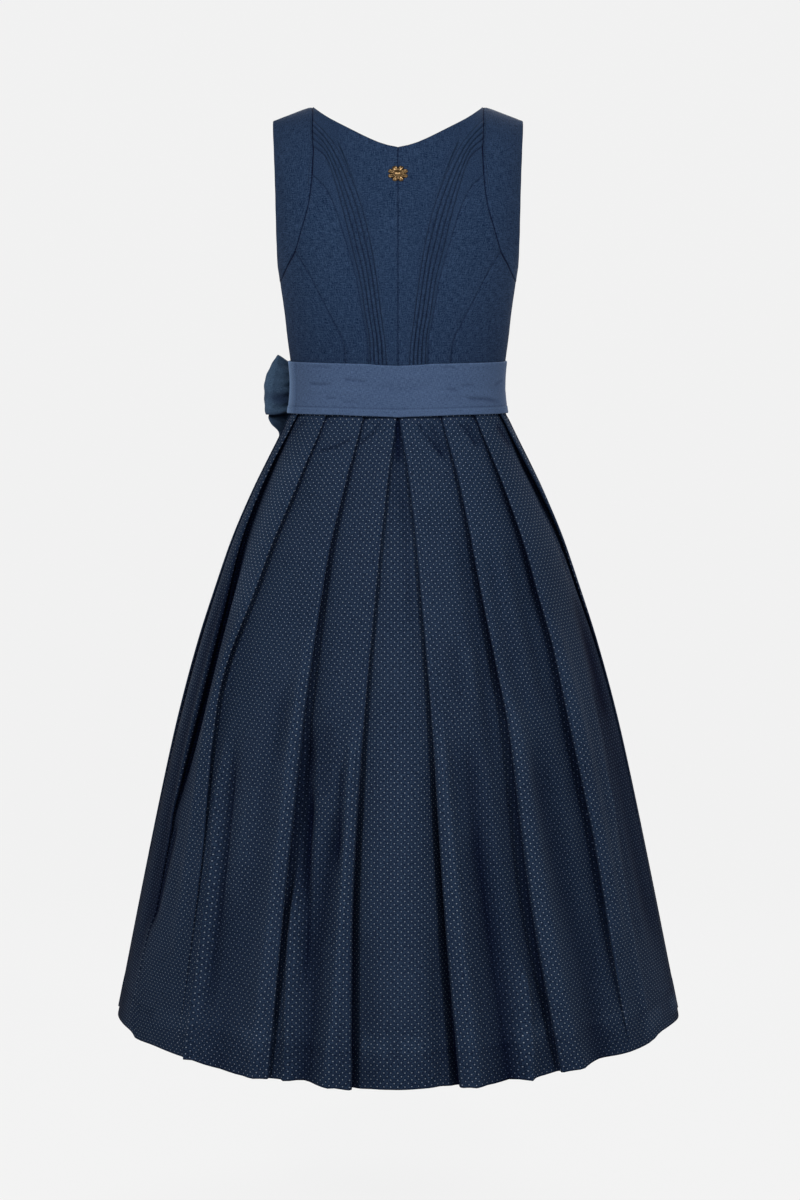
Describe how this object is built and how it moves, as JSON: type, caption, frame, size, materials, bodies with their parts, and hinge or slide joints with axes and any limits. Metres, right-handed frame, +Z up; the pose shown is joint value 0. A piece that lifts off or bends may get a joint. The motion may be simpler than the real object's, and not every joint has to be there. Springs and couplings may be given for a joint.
{
  "type": "dirndl dress",
  "caption": "Sleeveless dirndl with a pin-tucked, panelled bodice, a pleated dotted skirt, an apron and a wide waist band tied in a bow at the side front.",
  "frame": {"origin": "midway between the tops of the two shoulder straps, where the wearer's shoulders carry the dress", "axes": "+Z up along the wearer's body, -Y out of the back of the dress, +X towards the wearer's right"},
  "size_m": [0.7424, 0.7288, 1.191],
  "materials": {
    "navy_cloth": "plain linen-look weave, matt navy",
    "dotted_cloth": "fine cotton, matt navy with tiny pale dots",
    "blue_cloth": "plain cotton, soft light blue",
    "bow_cloth": "plain cotton, darker blue",
    "old_brass": "antique brass, darkened in the hollows"
  },
  "bodies": {
    "root": {"back_centre_left": "navy_cloth", "back_centre_right": "navy_cloth", "back_middle_left": "navy_cloth", "back_middle_right": "navy_cloth", "back_side_left": "navy_cloth", "back_side_right": "navy_cloth", "back_strap_left": "navy_cloth", "back_strap_right": "navy_cloth", "front_left": "navy_cloth", "front_right": "navy_cloth", "skirt_back": "dotted_cloth", "skirt_front": "dotted_cloth", "apron": "blue_cloth", "waist_band": "blue_cloth", "bow_knot": "bow_cloth", "bow_loop_back": "bow_cloth", "bow_loop_front": "bow_cloth", "bow_tail_back": "bow_cloth", "bow_tail_front": "bow_cloth", "rosette": "old_brass"}
  },
  "joints": []
}
